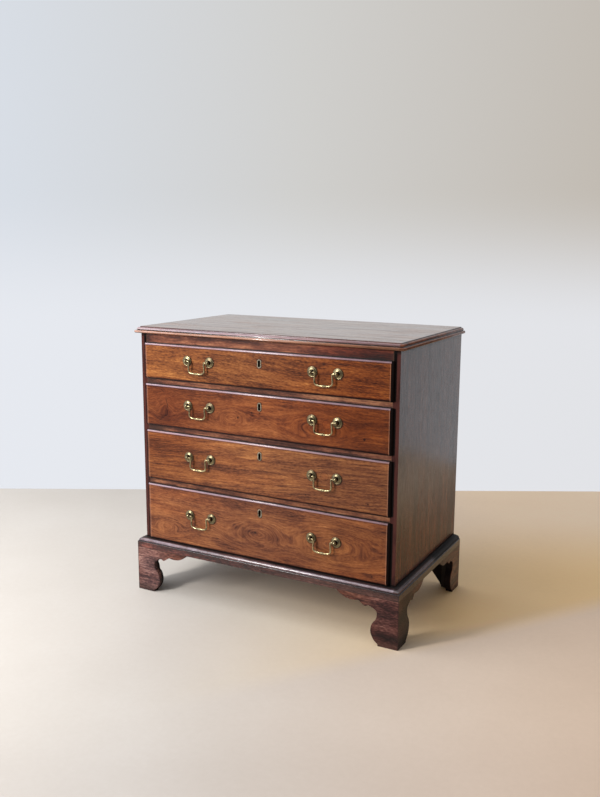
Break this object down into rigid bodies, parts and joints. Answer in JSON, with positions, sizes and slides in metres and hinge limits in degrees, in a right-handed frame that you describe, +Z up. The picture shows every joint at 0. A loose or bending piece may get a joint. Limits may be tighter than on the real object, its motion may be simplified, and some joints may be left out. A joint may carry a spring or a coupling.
{
  "type": "bachelors chest",
  "caption": "Small mahogany chest of graduated lip-moulded drawers with swan-neck bail handles, moulded top and shaped bracket feet.",
  "frame": {"origin": "on the floor, below the centre of the bounding box", "axes": "+X to the right seen from the front, +Y towards the back, +Z up; the drawers open towards -Y"},
  "size_m": [0.882, 0.5176, 0.834],
  "materials": {
    "mahogany_front": "french polished mahogany, warm orange brown",
    "mahogany_rail": "polished mahogany, darker",
    "mahogany_top": "polished mahogany",
    "mahogany_side": "old polished mahogany, dark",
    "mahogany_base": "old polished mahogany, worn at the edges",
    "oak": "dry oak, unpolished",
    "pine": "dry pine, unpolished",
    "brass": "aged brass"
  },
  "bodies": {
    "carcase": {"side_left": "mahogany_side", "side_right": "mahogany_side", "top_board": "mahogany_top", "frieze_rail": "mahogany_rail", "drawer_divider_1": "mahogany_rail", "drawer_divider_2": "mahogany_rail", "drawer_divider_3": "mahogany_rail", "bottom_board": "pine", "dust_boards": "pine", "drawer_runners": "oak", "drawer_stops": "oak", "back_boards": "pine", "base_moulding_front": "mahogany_base", "base_moulding_left": "mahogany_base", "base_moulding_right": "mahogany_base", "foot_front_left": "mahogany_base", "foot_front_right": "mahogany_base", "foot_back_left": "mahogany_base", "foot_back_right": "mahogany_base", "foot_glue_blocks": "pine"},
    "drawer_1": {"drawer_1_front": "mahogany_front", "drawer_1_sides": "oak", "drawer_1_back": "oak", "drawer_1_bottom": "oak", "drawer_1_lock": "brass", "drawer_1_escutcheon": "brass", "drawer_1_handle_posts": "brass"},
    "bolt_1": {"drawer_1_lock_bolt": "brass"},
    "bail_1_left": {"drawer_1_bail_left": "brass"},
    "bail_1_right": {"drawer_1_bail_right": "brass"},
    "drawer_2": {"drawer_2_front": "mahogany_front", "drawer_2_sides": "oak", "drawer_2_back": "oak", "drawer_2_bottom": "oak", "drawer_2_lock": "brass", "drawer_2_escutcheon": "brass", "drawer_2_handle_posts": "brass"},
    "bolt_2": {"drawer_2_lock_bolt": "brass"},
    "bail_2_left": {"drawer_2_bail_left": "brass"},
    "bail_2_right": {"drawer_2_bail_right": "brass"},
    "drawer_3": {"drawer_3_front": "mahogany_front", "drawer_3_sides": "oak", "drawer_3_back": "oak", "drawer_3_bottom": "oak", "drawer_3_lock": "brass", "drawer_3_escutcheon": "brass", "drawer_3_handle_posts": "brass"},
    "bolt_3": {"drawer_3_lock_bolt": "brass"},
    "bail_3_left": {"drawer_3_bail_left": "brass"},
    "bail_3_right": {"drawer_3_bail_right": "brass"},
    "drawer_4": {"drawer_4_front": "mahogany_front", "drawer_4_sides": "oak", "drawer_4_back": "oak", "drawer_4_bottom": "oak", "drawer_4_lock": "brass", "drawer_4_escutcheon": "brass", "drawer_4_handle_posts": "brass"},
    "bolt_4": {"drawer_4_lock_bolt": "brass"},
    "bail_4_left": {"drawer_4_bail_left": "brass"},
    "bail_4_right": {"drawer_4_bail_right": "brass"}
  },
  "joints": [
    {"name": "drawer_1_slide", "type": "slide", "parent": "carcase", "child": "drawer_1", "axis": [0, -1, 0], "range_m": [0, 0.38]},
    {"name": "bail_1_left_hinge", "type": "hinge", "parent": "drawer_1", "child": "bail_1_left", "pos_m": [-0.207, -0.2532, 0.74135], "axis": [-1, 0, 0], "range_deg": [-7, 187]},
    {"name": "bail_1_right_hinge", "type": "hinge", "parent": "drawer_1", "child": "bail_1_right", "pos_m": [0.207, -0.2532, 0.74135], "axis": [-1, 0, 0], "range_deg": [-7, 187]},
    {"name": "lock_bolt_1_slide", "type": "slide", "parent": "drawer_1", "child": "bolt_1", "axis": [0, 0, 1], "range_m": [0, 0.008]},
    {"name": "drawer_2_slide", "type": "slide", "parent": "carcase", "child": "drawer_2", "axis": [0, -1, 0], "range_m": [0, 0.38]},
    {"name": "bail_2_left_hinge", "type": "hinge", "parent": "drawer_2", "child": "bail_2_left", "pos_m": [-0.207, -0.2532, 0.60785], "axis": [-1, 0, 0], "range_deg": [-7, 187]},
    {"name": "bail_2_right_hinge", "type": "hinge", "parent": "drawer_2", "child": "bail_2_right", "pos_m": [0.207, -0.2532, 0.60785], "axis": [-1, 0, 0], "range_deg": [-7, 187]},
    {"name": "lock_bolt_2_slide", "type": "slide", "parent": "drawer_2", "child": "bolt_2", "axis": [0, 0, 1], "range_m": [0, 0.008]},
    {"name": "drawer_3_slide", "type": "slide", "parent": "carcase", "child": "drawer_3", "axis": [0, -1, 0], "range_m": [0, 0.38]},
    {"name": "bail_3_left_hinge", "type": "hinge", "parent": "drawer_3", "child": "bail_3_left", "pos_m": [-0.207, -0.2532, 0.45135], "axis": [-1, 0, 0], "range_deg": [-7, 187]},
    {"name": "bail_3_right_hinge", "type": "hinge", "parent": "drawer_3", "child": "bail_3_right", "pos_m": [0.207, -0.2532, 0.45135], "axis": [-1, 0, 0], "range_deg": [-7, 187]},
    {"name": "lock_bolt_3_slide", "type": "slide", "parent": "drawer_3", "child": "bolt_3", "axis": [0, 0, 1], "range_m": [0, 0.008]},
    {"name": "drawer_4_slide", "type": "slide", "parent": "carcase", "child": "drawer_4", "axis": [0, -1, 0], "range_m": [0, 0.38]},
    {"name": "bail_4_left_hinge", "type": "hinge", "parent": "drawer_4", "child": "bail_4_left", "pos_m": [-0.207, -0.2532, 0.26985], "axis": [-1, 0, 0], "range_deg": [-7, 187]},
    {"name": "bail_4_right_hinge", "type": "hinge", "parent": "drawer_4", "child": "bail_4_right", "pos_m": [0.207, -0.2532, 0.26985], "axis": [-1, 0, 0], "range_deg": [-7, 187]},
    {"name": "lock_bolt_4_slide", "type": "slide", "parent": "drawer_4", "child": "bolt_4", "axis": [0, 0, 1], "range_m": [0, 0.008]}
  ]
}
